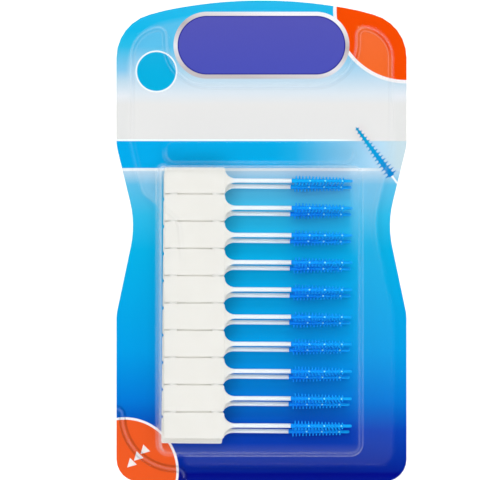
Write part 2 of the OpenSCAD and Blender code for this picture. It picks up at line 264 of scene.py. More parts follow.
def to_line(points, line, closed=True):
    """Distance from each point to the nearest stretch of the line, and how often a ray to +X crosses it."""
    start = line if closed else line[:-1]
    end = np.roll(line, -1, axis=0) if closed else line[1:]
    step = end - start
    best = np.full(len(points), np.inf)
    crossings = np.zeros(len(points), int)
    for first in range(0, len(points), BATCH):
        part = points[first:first + BATCH]
        offset = part[:, None, :] - start[None, :, :]
        share = np.clip((offset * step).sum(axis=2) / (step ** 2).sum(axis=1), 0, 1)
        gap = offset - share[..., None] * step
        best[first:first + BATCH] = np.sqrt((gap ** 2).sum(axis=2).min(axis=1))
        above = part[:, 1:2] >= start[None, :, 1]
        spans = above != (part[:, 1:2] >= end[None, :, 1])
        rise = np.where(np.abs(step[:, 1]) < 1e-12, 1e-12, step[:, 1])
        cut_x = start[:, 0] + offset[..., 1] * step[:, 0] / rise
        crossings[first:first + BATCH] = (spans & (cut_x > part[:, 0:1])).sum(axis=1)
    return best, crossings


def depth_in(points, line):
    """Signed distance to a closed line, positive inside it."""
    best, crossings = to_line(points, line)
    return np.where(crossings % 2 == 1, best, -best)


def wall(depth, lean, edge):
    """0 outside and 1 inside, rising over lean about depth 0, with both ends rounded by edge.

    The formula is half the difference of two hyperbolas, sqrt(d^2 + edge^2) at the wall's foot and top.
    """
    foot = depth + lean / 2
    top = depth - lean / 2
    return (np.sqrt(foot ** 2 + edge ** 2) - np.sqrt(top ** 2 + edge ** 2)) / (2 * lean) + 0.5


def block_depths(points):
    """How deep each point lies inside the cavity, the header and the platform, and inside the bead's foot."""
    bead_gap, _ = to_line(points, BEAD_LINE, closed=False)
    inside = [depth_in(points, line) for line in (CAVITY_LINE, HEADER_LINE, PLATFORM_LINE)]
    return np.stack(inside + [BEAD_W / 2 - bead_gap])


def shell_height(points, depths):
    """Top of the sheet above the card: the smooth greatest of the four raised blocks, less a ripple.

    The greatest is the logarithm of the blocks' exponentials in steps of MEET_R, and the ripple is the
    mean of a product of sines in x and y and a sine along a slant.
    """
    cavity, header, platform, bead = depths
    blocks = np.stack([
        CAVITY_H * wall(cavity, CAVITY_LEAN, CAVITY_EDGE),
        HEADER_H * wall(header, HEADER_LEAN, CAVITY_EDGE),
        PLATFORM_H * wall(platform, PLATFORM_LEAN, LOW_EDGE),
        BEAD_H * wall(bead - BEAD_LEAN / 2, BEAD_LEAN, LOW_EDGE),
    ])
    height = MEET_R * np.log(np.exp(blocks / MEET_R).sum(axis=0) - (len(blocks) - 1))
    height = np.minimum(height, CAVITY_H)
    x, y = points.T
    swell = (np.sin(x / 6.1 + 0.8) * np.sin(y / 8.3 + 0.3) + np.sin(x / 3.7 - y / 5.2)) / 4 + 0.5
    return height - RIPPLE * swell * np.clip(height / PLATFORM_H, 0, 1)


def ring(line, distance, closed=True):
    """The line moved to its left by distance, along the mean of its neighbouring stretches' normals."""
    if closed:
        along = np.roll(line, -1, axis=0) - np.roll(line, 1, axis=0)
    else:
        along = np.gradient(line, axis=0)
    return line + distance * left_of(along / np.linalg.norm(along, axis=1, keepdims=True))


def shell_surface():
    """Rings beside every wall and a coarse grid between, joined into triangles and lifted to the height.

    Returns the points, the faces and each point's depth in the four blocks, held within the rings.
    """
    lines = [(CARD_LINE, True)]
    lines += [(ring(CARD_LINE, distance), True) for distance in RIM_RINGS]
    for line, (low, high) in zip((CAVITY_LINE, HEADER_LINE, PLATFORM_LINE), DEPTH_SPANS):
        count = int(round((high - low) / RING_GAP)) + 1
        lines += [(ring(line, distance), True) for distance in np.linspace(low, high, count)]
    low, high = DEPTH_SPANS[3]
    across = np.linspace(low - BEAD_W / 2, BEAD_W / 2 - low, BEAD_RINGS)
    lines += [(ring(BEAD_LINE, distance, closed=False), False) for distance in across]
    points, edges, first = [], [], 0
    for line, closed in lines:
        count = len(line)
        index = np.arange(count)
        pairs = np.stack([index, (index + 1) % count], axis=1)
        points.append(line)
        edges.append(first + (pairs if closed else pairs[:-1]))
        first += count
    grid_x = np.arange(-CARD_SIDE + ROOF_STEP, CARD_SIDE, ROOF_STEP)
    grid_y = np.arange(-CARD_TOP + ROOF_STEP, CARD_TOP, ROOF_STEP)
    grid = np.stack(np.meshgrid(grid_x, grid_y), axis=-1).reshape(-1, 2)
    clear = depth_in(grid, CARD_LINE) > RIM_RINGS[-1] + GRID_GAP
    for line, (low, high) in zip((CAVITY_LINE, HEADER_LINE, PLATFORM_LINE), DEPTH_SPANS):
        depth = depth_in(grid, line)
        clear &= (depth < low - GRID_GAP) | (depth > high + GRID_GAP)
    points.append(grid[clear])
    flat = np.vstack(points)
    border = list(range(len(CARD_LINE)))
    made = delaunay_2d_cdt(flat.tolist(), np.vstack(edges).tolist(), [border], 1, 1e-5)
    places = np.array(made[0])
    used, corners = np.unique(np.array([face for face in made[2] if len(face) == 3]), return_inverse=True)
    triangles = corners.reshape(-1, 3)
    places = places[used]
    depths = block_depths(places)
    top = CARD_T + SHEET_T + shell_height(places, depths)
    lows, highs = np.array(DEPTH_SPANS).T
    held = np.clip(depths, lows[:, None], highs[:, None])
    return np.column_stack([places, top]), np.column_stack([triangles, np.full(len(triangles), -1)]), held


# Meshes. A face is a row of four point numbers, and a triangle has -1 as its fourth

def new_piece(name, points, faces, body, materials):
    """A mesh of points in millimetres, riding on its body, with its finishes."""
    real = faces >= 0
    sizes = real.sum(axis=1)
    mesh = bpy.data.meshes.new(name)
    mesh.vertices.add(len(points))
    mesh.vertices.foreach_set("co", (points * MM).astype(np.float32).ravel())
    mesh.loops.add(int(sizes.sum()))
    mesh.loops.foreach_set("vertex_index", faces[real].astype(np.int32))
    mesh.polygons.add(len(faces))
    mesh.polygons.foreach_set("loop_start", (np.cumsum(sizes) - sizes).astype(np.int32))
    mesh.polygons.foreach_set("use_smooth", np.full(len(faces), True))
    mesh.update(calc_edges=True)
    for material in materials:
        mesh.materials.append(material)
    piece = bpy.data.objects.new(name, mesh)
    bpy.context.scene.collection.objects.link(piece)
    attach(piece, body)
    return piece


def mark(piece, name, values):
    """A number at each of the piece's points, which its finish reads by name."""
    attribute = piece.data.attributes.new(name, "FLOAT", "POINT")
    attribute.data.foreach_set("value", values.astype(np.float32))


def tube_faces(rings, sides):
    """Quads between neighbouring rings and a fan at each end, whose poles come after the rings."""
    row, side = np.meshgrid(np.arange(rings - 1), np.arange(sides), indexing="ij")
    beside = (side + 1) % sides
    here, there = row * sides, (row + 1) * sides
    quads = np.stack([here + side, here + beside, there + beside, there + side], axis=-1).reshape(-1, 4)
    around = np.arange(sides)
    onward = (around + 1) % sides
    last = (rings - 1) * sides
    none = np.full(sides, -1)
    start = np.stack([np.full(sides, rings * sides), onward, around, none], axis=1)
    end = np.stack([np.full(sides, rings * sides + 1), last + around, last + onward, none], axis=1)
    return np.vstack([quads, start, end])


def spun(radius, sides):
    """Both coordinates of a circle of each radius in turn, walked in equal steps all round."""
    angle = np.arange(sides) * 2 * math.pi / sides
    return np.outer(radius, np.cos(angle)).ravel(), np.outer(radius, np.sin(angle)).ravel()


def bar(x, half_w, half_t, corner, middle_y=0.0, corner_points=5):
    """A bar along X whose section is a rounded rectangle that changes from ring to ring.

    A ring's point is its corner's centre, (+-(half_w - corner), +-(half_t - corner)), plus corner times
    the direction, which runs a quarter turn at each corner. A pole closes each end.
    """
    rows = np.broadcast_arrays(x, half_w, half_t, corner)
    x, half_w, half_t, corner = (np.asarray(row, float)[:, None] for row in rows)
    angle = np.radians((np.arange(4)[:, None] * 90 + np.linspace(0, 90, corner_points)).reshape(-1))
    side_y = np.repeat([1, -1, -1, 1], corner_points)
    side_z = np.repeat([1, 1, -1, -1], corner_points)
    y = middle_y + side_y * (half_w - corner) + corner * np.cos(angle)
    z = side_z * (half_t - corner) + corner * np.sin(angle)
    rings = np.stack([np.broadcast_to(x, y.shape), y, z], axis=-1).reshape(-1, 3)
    poles = np.array([[x[0, 0], middle_y, 0], [x[-1, 0], middle_y, 0]])
    return np.vstack([rings, poles]), tube_faces(len(x), 4 * corner_points)


def joined(parts):
    """Several (points, faces) put in one, with the faces' numbers moved on."""
    firsts = np.cumsum([0] + [len(points) for points, _ in parts])
    faces = [np.where(faces < 0, faces, faces + first) for (_, faces), first in zip(parts, firsts)]
    return np.vstack([points for points, _ in parts]), np.vstack(faces)


def in_comb(points, front, k):
    """A brush's own points, butt at 0 and tip along +X, put where brush k of its comb lies."""
    local = points + np.array([-BRUSH_L / 2, COMB_W / 2 - GRIP_W / 2 - k * PITCH, 0])
    turn = math.radians(FRONT_TURN if front else REAR_TURN)
    spin = np.array([[math.cos(turn), -math.sin(turn), 0], [math.sin(turn), math.cos(turn), 0], [0, 0, 1]])
    shift = (0, 0, FRONT_Z) if front else (-REAR_LEFT, -REAR_DOWN, REAR_Z)
    middle = np.array([COMB_X + BRUSH_L / 2, COMB_Y - COMB_W / 2, 0])
    return local @ spin.T + middle + np.array(shift)


def core_shape(with_ties):
    """Grip, hollow curve, stem and pin as one bar, with a tie to the next grip at each tie's place.

    The half width is the grip's, less a quarter circle at the butt and the shoulder, then a quarter
    ellipse down to the stem. The half thickness falls in a straight line along that ellipse. From the
    stem's middle on the section is a circle, whose radius steps down at the pin.
    """
    quarter = np.radians(np.linspace(0, 90, 7))
    fall = 1 - np.sin(quarter)
    grip_h, grip_t, stem_r = GRIP_W / 2, GRIP_T / 2, STEM_D / 2
    butt_x = GRIP_R * (1 - np.cos(quarter))
    cove = np.radians(np.linspace(0, 90, 15))[1:]
    cove_x = GRIP_L + COVE_L * (1 - np.cos(cove))
    cove_h = grip_h - GRIP_R - stem_r
    thin = (cove_x - GRIP_L) / COVE_L
    round_x = [GRIP_L + COVE_L + STEM_L / 2, SLEEVE_X, SLEEVE_X, SLEEVE_X + SLEEVE_L - NOSE_L]
    round_r = [stem_r, stem_r, PIN_D / 2, PIN_END_D / 2]
    x = np.concatenate([butt_x, (GRIP_L - butt_x)[::-1], cove_x, round_x])
    half_w = np.concatenate([
        grip_h - GRIP_R * fall, (grip_h - GRIP_R * fall)[::-1],
        stem_r + cove_h * (1 - np.sin(cove)), round_r])
    half_t = np.concatenate([
        grip_t - GRIP_EDGE * fall, np.full(len(quarter), grip_t),
        grip_t + (stem_r - grip_t) * thin, round_r])
    corner = np.concatenate([
        np.full(2 * len(quarter), GRIP_EDGE), GRIP_EDGE + (stem_r - GRIP_EDGE) * thin, round_r])
    parts = [bar(x, half_w, half_t, np.minimum(corner, np.minimum(half_w, half_t)))]
    if with_ties:
        half = (SLIT_W + TIE_ROOT) / 2
        middle = -GRIP_W / 2 - SLIT_W + half
        parts += [bar([at, at + TIE_L], half, TIE_T / 2, TIE_EDGE, middle, 3) for at in TIE_XS]
        # A pale bar deep in the slit: painted light, standing in for the light that comes through the white
        # plastic.
        parts.append(bar([SLIT_LIGHT_INSET, GRIP_L - SLIT_LIGHT_INSET], half, SLIT_LIGHT_T / 2, SLIT_LIGHT_EDGE, middle, 3))
    return joined(parts)


def sleeve_radius(x):
    """The rubber's radius at x, which falls in a straight line up to the round end."""
    share = np.clip(x / (SLEEVE_L - SLEEVE_END_D / 2), 0, 1)
    return (SLEEVE_D + (SLEEVE_END_D - SLEEVE_D) * share) / 2


def sleeve_shape():
    """A slow cone with a round end, and at each row six tapered strands fanned about the comb's plane.

    A cone's ring of radius r at x has points (x, r cos a, r sin a). A strand's ring lies at distance s
    from the middle line along its spoke, and its points are w times a circle across that spoke.
    Returns the points, the faces and each point's share of the way out along a strand.
    """
    end_r = SLEEVE_END_D / 2
    turn = np.radians(np.linspace(0, 84, 7))[1:]
    straight_x = np.concatenate([[SLEEVE_EDGE_L], np.linspace(1, SLEEVE_L - end_r, 12)])
    x = np.concatenate([[0], straight_x, SLEEVE_L - end_r + end_r * np.sin(turn)])
    radius = np.concatenate([
        [sleeve_radius(0) - SLEEVE_EDGE], sleeve_radius(straight_x), end_r * np.cos(turn)])
    rings = np.stack([np.repeat(x, SLEEVE_SIDES), *spun(radius, SLEEVE_SIDES)], axis=1)
    body = np.vstack([rings, [[0, 0, 0], [SLEEVE_L, 0, 0]]])

    row_x = np.linspace(FIRST_ROW, SLEEVE_L - LAST_ROW, ROWS)
    share = row_x / SLEEVE_L
    reach = REACH + (END_REACH - REACH) * share
    root = (SLEEVE_D + (SLEEVE_END_D - SLEEVE_D) * share) / 2 * ROOT_SHARE
    out = root[:, None] + (reach - root)[:, None] * STRAND_LEVELS
    beside, across = (
        part.reshape(-1, STRAND_SIDES) for part in spun(STRAND_W / 2 * STRAND_WIDTHS, STRAND_SIDES))
    cos, sin = np.cos(SPOKES)[:, None, None], np.sin(SPOKES)[:, None, None]
    away = out[:, None, :, None]
    strands = np.stack(np.broadcast_arrays(
        row_x[:, None, None, None] + beside, away * cos - across * sin, away * sin + across * cos), axis=-1)
    ends = np.stack([root, reach], axis=1)[:, None, :]
    poles = np.stack(np.broadcast_arrays(
        row_x[:, None, None], ends * cos[:, :, 0], ends * sin[:, :, 0]), axis=-1)
    count = ROWS * len(SPOKES)
    strand_points = np.concatenate([strands.reshape(count, -1, 3), poles.reshape(count, 2, 3)], axis=1)
    strand_faces = tube_faces(len(STRAND_LEVELS), STRAND_SIDES)
    parts = [(body, tube_faces(len(x), SLEEVE_SIDES))]
    parts += [(strand, strand_faces) for strand in strand_points]
    points, faces = joined(parts)
    tips = np.concatenate([np.repeat(STRAND_LEVELS, STRAND_SIDES), [0.0, 1.0]])
    return points, faces, np.concatenate([np.zeros(len(body)), np.tile(tips, count)])


def window_shape():
    """A low dome over each window: rings of falling radius, each lifted off the rubber, and a pole."""
    parts = []
    for share in WINDOW_SHARES:
        skin = (SLEEVE_D + (SLEEVE_END_D - SLEEVE_D) * share) / 2
        along, across = spun(WINDOW_D / 2 * WINDOW_RINGS, WINDOW_SIDES)
        height = np.repeat(skin + WINDOW_LIFTS, WINDOW_SIDES)
        rings = np.stack([SLEEVE_L * share + along, across, height], axis=1)
        poles = [[SLEEVE_L * share, 0, skin + WINDOW_LIFTS[0]], [SLEEVE_L * share, 0, skin + WINDOW_TOP]]
        parts.append((np.vstack([rings, poles]), tube_faces(len(WINDOW_RINGS), WINDOW_SIDES)))
    return joined(parts)


# Finishes

DEPTH_NAMES = ("cavity_depth", "header_depth", "platform_depth", "bead_depth")
WHITE = (1.0, 1.0, 1.0, 1.0)


def ink(code):
    """The linear colour of a six-digit screen colour."""
    channels = np.array([int(code[i:i + 2], 16) for i in (0, 2, 4)]) / 255
    linear = np.where(channels <= 0.04045, channels / 12.92, ((channels + 0.055) / 1.055) ** 2.4)
    return (*linear.tolist(), 1.0)


class Socket:
    """A socket of a finish's node tree. Sums, products and comparisons of numbers add Math nodes."""

    def __init__(self, finish, socket):
        self.finish = finish
        self.socket = socket

    def math(self, operation, first, second=None, clamp=False):
        inputs = {0: first} if second is None else {0: first, 1: second}
        return self.finish.node("ShaderNodeMath", {"operation": operation, "use_clamp": clamp}, inputs)

    def __add__(self, other):
        return self.math("ADD", self, other)

    def __radd__(self, other):
        return self.math("ADD", other, self)

    def __sub__(self, other):
        return self.math("SUBTRACT", self, other)

    def __rsub__(self, other):
        return self.math("SUBTRACT", other, self)

    def __mul__(self, other):
        return self.math("MULTIPLY", self, other)

    def __rmul__(self, other):
        return self.math("MULTIPLY", other, self)

    def __truediv__(self, other):
        return self.math("DIVIDE", self, other)

    def __rtruediv__(self, other):
        return self.math("DIVIDE", other, self)

    def __pow__(self, other):
        return self.math("POWER", self, other)

    def __abs__(self):
        return self.math("ABSOLUTE", self)

    def __gt__(self, other):
        return self.math("GREATER_THAN", self, other)

    def __lt__(self, other):
        return self.math("LESS_THAN", self, other)

    def least(self, other):
        return self.math("MINIMUM", self, other)

    def most(self, other):
        return self.math("MAXIMUM", self, other)

    def root(self):
        return self.math("SQRT", self)

    def part(self):
        return self.math("FRACT", self)

    def share(self, low, high):
        """0 at low and 1 at high, held between them."""
        return self.math("MULTIPLY", self - low, 1 / (high - low), clamp=True)


class Finish:
    """The nodes of one material or world, and the one way in which they are made."""

    def __init__(self, owner, end="ShaderNodeOutputMaterial"):
        owner.use_nodes = True
        self.owner = owner
        self.end = end
        self.tree = owner.node_tree
        self.tree.nodes.clear()

    def node(self, kind, settings=None, inputs=None, output=0):
        """A node with its settings, then the values or links of its sockets. Returns the output asked for."""
        made = self.tree.nodes.new(kind)
        for name, value in (settings or {}).items():
            if name == "stops":
                ramp = made.color_ramp
                while len(ramp.elements) < len(value):
                    ramp.elements.new(0.5)
                for element, (place, colour) in zip(ramp.elements, value):
                    element.position = place
                    element.color = colour
            else:
                setattr(made, name, value)
        for key, value in (inputs or {}).items():
            if isinstance(value, Socket):
                self.tree.links.new(value.socket, made.inputs[key])
            else:
                made.inputs[key].default_value = value
        return None if output is None else Socket(self, made.outputs[output])

    def place(self):
        """The piece's own coordinates in millimetres, as a vector and as x, y and z."""
        metres = self.node("ShaderNodeTexCoord", output="Object")
        vector = self.node("ShaderNodeVectorMath", {"operation": "SCALE"}, {0: metres, "Scale": 1 / MM})
        split = [self.node("ShaderNodeSeparateXYZ", None, {0: vector}, output=i) for i in range(3)]
        return vector, *split

    def noise(self, vector, scale, detail=3.0, roughness=0.5):
        inputs = {"Vector": vector, "Scale": scale, "Detail": detail, "Roughness": roughness}
        return self.node("ShaderNodeTexNoise", None, inputs, output="Fac")

    def ramp(self, value, low, high, stops):
        """A colour by where value lies between low and high; stops pairs a value with a screen colour."""
        places = sorted(((at - low) / (high - low), ink(code)) for at, code in stops)
        return self.node("ShaderNodeValToRGB", {"stops": places}, {0: value.share(low, high)}, output="Color")

    def curve(self, value, stops):
        """A number by where value lies among the stops, in straight lines between them."""
        low, high = stops[0][0], stops[-1][0]
        places = [((at - low) / (high - low), (number, number, number, 1.0)) for at, number in stops]
        return self.node("ShaderNodeValToRGB", {"stops": places}, {0: value.share(low, high)}, output="Color")

    def blend(self, share, under, over):
        """under where share is 0 and over where it is 1."""
        settings = {"data_type": "RGBA", "clamp_factor": True}
        return self.node("ShaderNodeMix", settings, {0: share, 6: under, 7: over}, output=2)

    def layer(self, share, under, over):
        """The shader under where share is 0 and the shader over where it is 1."""
        return self.node("ShaderNodeMixShader", None, {0: share, 1: under, 2: over})

    def bump(self, height, strength, distance):
        inputs = {"Height": height, "Strength": strength, "Distance": distance * MM}
        return self.node("ShaderNodeBump", None, inputs)

    def close(self, shader):
        """The material or world, with the shader led to its surface."""
        self.node(self.end, None, {"Surface": shader}, output=None)
        return self.owner


# Where the print lies on the card's front, in millimetres from the card's middle
BAND_TOP, BAND_FOOT = 29.3, 21.4
KEYLINE_W = 0.5
PANEL_Y, PANEL_HALF_W, PANEL_HALF_H, PANEL_RIM, PANEL_KEYLINE_W = 57.4, 24.6, 8.6, 1.2, 0.3
DISC_X, DISC_Y, DISC_R, DISC_RING = -30.8, 49.7, 5.7, 0.45
FLASH_X, FLASH_Y, FLASH_R, FLASH_BORDER = 42.4, 67.6, 20.4, 1.0
PEEL_X, PEEL_Y, PEEL_R, PEEL_BORDER = -40.1, -67.5, 15.15, 0.7
RIM_FROM, RIM_TO = 2.6, 4.4
STRIPE_FOOT = 20.5
ARROW_X, ARROW_Y, ARROW_STEP, ARROW_H, ARROW_HALF_W = -34.55, -61.55, 2.76, 2.55, 1.4
MOTIF_X, MOTIF_Y, MOTIF_L, MOTIF_TURN = 27.7, 33.3, 17.7, -53.5
SPIKE_STEP, SPIKE_ROOT, SPIKE_REACH, MOTIF_STEM = 1.18, 0.5, 1.35, 2.6
SOFT_EDGE = 0.12


def edge(depth):
    """1 where depth is positive and 0 where it is negative, softened like the edge of an ink."""
    return depth.share(-SOFT_EDGE / 2, SOFT_EDGE / 2)


def span(across, along):
    """The distance that two offsets at right angles make."""
    return (across ** 2 + along ** 2).root()


def patch(f, colour, depth, border, rim, fill):
    """A patch of ink where depth is positive, with a rim round it that is border wide."""
    colour = f.blend(edge(depth + border), colour, rim)
    return f.blend(edge(depth), colour, fill)


def sky(f, height, from_edge):
    """The head above the band: white to blue upwards, deeper along the card's rim."""
    rim = f.ramp(height, 40, 70, [
        (40, "e2e2e0"), (42.5, "e4e8ed"), (47, "bcd7e6"), (50, "83c5e7"), (57, "29b9e2"), (62, "11b5e4"),
        (69, "26b6e5")])
    inside = f.ramp(height, 40, 57, [(40, "e5e4e2"), (43, "dde5eb"), (57, "58bde6")])
    return f.blend(from_edge.share(RIM_FROM, RIM_TO), rim, inside)


def sea(f, x, y, height):
    """Below the head: a band that pales to the right, a thin stripe, and blue that deepens to navy."""
    band = f.ramp(x, -CARD_SIDE, CARD_SIDE, [
        (-42, "00a7e5"), (4, "02ace6"), (10, "1dafe5"), (15, "4cb6e4"), (26, "88c6e6"), (33, "aed9f2"),
        (40, "c6dce4")])
    deep = f.ramp(height, -CARD_TOP, STRIPE_FOOT, [
        (-70.3, "02188e"), (-68.3, "010782"), (-67.5, "03218f"), (-55.5, "0541b2"), (-46.5, "0178d2"),
        (-32, "019adf"), (-2.5, "04aee0"), (7.5, "2db9e4"), (16.5, "5dbde4"), (20.3, "b4d4e8")])
    stripe = f.ramp(x, -CARD_SIDE, CARD_SIDE, [(30, "e4eef4"), (36, "c4dcea")])
    deep = f.blend(edge(y - STRIPE_FOOT), deep, stripe)
    return f.blend(edge(BAND_FOOT - y), band, deep)


def arrows(f, x, y, colour):
    """Three small pale triangles that point to the foot's left corner, one after the other."""
    diagonal = math.sqrt(0.5)
    ahead = (ARROW_X - x + ARROW_Y - y) * diagonal
    beside = abs((x - ARROW_X - y + ARROW_Y) * diagonal)
    slope = ARROW_HALF_W / ARROW_H
    for k in range(3):
        from_base = ahead - k * ARROW_STEP + ARROW_H / 2
        from_flank = ((ARROW_H - from_base) * slope - beside) / math.hypot(1, slope)
        colour = f.blend(edge(from_base.least(from_flank)), colour, ink("f2e8e4"))
    return colour


def printed_brush(f, x, y, colour):
    """A small picture of a rubber tip on its stem, that lies aslant and throws a faint shadow."""
    turn = math.radians(MOTIF_TURN)
    along = (x - MOTIF_X) * math.cos(turn) + (y - MOTIF_Y) * math.sin(turn)
    off = abs((y - MOTIF_Y) * math.cos(turn) - (x - MOTIF_X) * math.sin(turn))
    within = along.least(MOTIF_L - along)
    spine_half = 0.12 + along.share(0, 1.5) * 0.2 + along.share(0, MOTIF_L) * 0.5
    spine = (spine_half - off).least(within)
    reach = SPIKE_ROOT + along.share(0, MOTIF_L) * (SPIKE_REACH - SPIKE_ROOT)
    tooth = abs((along / SPIKE_STEP).part() - 0.5) * 4.0
    spikes = (spine_half + reach * (1 - tooth) - off).least(within)
    shadow = (1.2 - abs(off - 0.9)).least(within).share(-0.6, 1.2)
    colour = f.blend(shadow * 0.12, colour, ink("c09aa8"))
    stem = (0.3 - off).least(along - MOTIF_L).least(MOTIF_L + MOTIF_STEM - along)
    colour = f.blend(edge(stem), colour, ink("f4f6f8"))
    azure = f.ramp(along, 0, MOTIF_L, [(0, "0890c0"), (6, "0aa0d4"), (12, "0a94d4"), (17, "0a84cc")])
    return f.blend(edge(spine.most(spikes)), colour, azure)


def printed_board():
    """Coated board: a sky that runs from white to navy, plain patches of ink, and raw edges and back."""
    f = Finish(bpy.data.materials.new("printed_board"))
    vector, x, y, z = f.place()
    grain = f.noise(vector, 1.6, 4.0, 0.6)
    drift = f.noise(vector, 0.05, 2.0) * 0.8 - 0.4
    from_side = CARD_SIDE - abs(x)
    from_arch = ARCH_R - span(x, y - CARD_TOP + ARCH_R)
    past_side = (HEAD_CORNER_R - from_side).most(0)
    past_arch = (HEAD_CORNER_R - from_arch).most(0)
    from_edge = HEAD_CORNER_R - span(past_side, past_arch)
    keyline = edge((y - BAND_TOP).least(BAND_TOP + KEYLINE_W - y)) * (1 - x.share(22, 28))
    head = f.blend(keyline, sky(f, y + drift, from_edge), ink("f4fbff"))
    colour = f.blend(edge(y - BAND_TOP), sea(f, x, y, y + drift * 0.5), head)

    flash = FLASH_R - span(x - FLASH_X, y - FLASH_Y)
    # The orange is paler inside the raised lobe of the sheet: a painted veil of the light that the raised
    # sheet reflects.
    lobe = from_edge.share(FLANGE_W + 0.1, FLANGE_W + 0.7) * x.share(NOTCH_W / 2, NOTCH_W / 2 + 1)
    orange = f.blend(lobe, ink("f04a00"), ink("f16828"))
    colour = patch(f, colour, flash, FLASH_BORDER, ink("f2eef0"), orange)

    across = (abs(x) - (PANEL_HALF_W - PANEL_HALF_H)).most(0)
    panel = PANEL_HALF_H - span(across, y - PANEL_Y)
    silver = f.ramp(y + x * 0.15, PANEL_Y - 11, PANEL_Y + 11, [
        (PANEL_Y - 10, "c4bcbc"), (PANEL_Y - 4, "e4e2e6"), (PANEL_Y + 3, "b8aeae"), (PANEL_Y + 10, "f2f0f2")])
    colour = patch(f, colour, panel, PANEL_RIM, silver, ink("1c1c88"))
    indigo = f.ramp(y, PANEL_Y - 9, PANEL_Y + 9, [(PANEL_Y - 9, "4a50b4"), (PANEL_Y + 9, "5454b0")])
    colour = f.blend(edge(panel - PANEL_KEYLINE_W), colour, indigo)

    disc = DISC_R - span(x - DISC_X, y - DISC_Y)
    colour = patch(f, colour, disc, DISC_RING, ink("f2f8fc"), ink("00acda"))
    peel = PEEL_R - span(x - PEEL_X, y - PEEL_Y)
    colour = patch(f, colour, peel, PEEL_BORDER, ink("f6f0f2"), ink("ec5a24"))
    colour = printed_brush(f, x, y, arrows(f, x, y, colour))

    raw = f.blend(grain, ink("dcdad4"), ink("efede8"))
    front = z > CARD_T - 0.01
    colour = f.blend(front, raw, colour)
    shader = f.node("ShaderNodeBsdfPrincipled", None, {
        "Base Color": f.blend(grain * 0.03, colour, ink("000000")),
        "Roughness": 0.78 - front * 0.4 + grain * 0.08,
        "Normal": f.bump(grain, 0.25, 0.03),
        "Specular IOR Level": 0.02,
    })
    return f.close(shader)


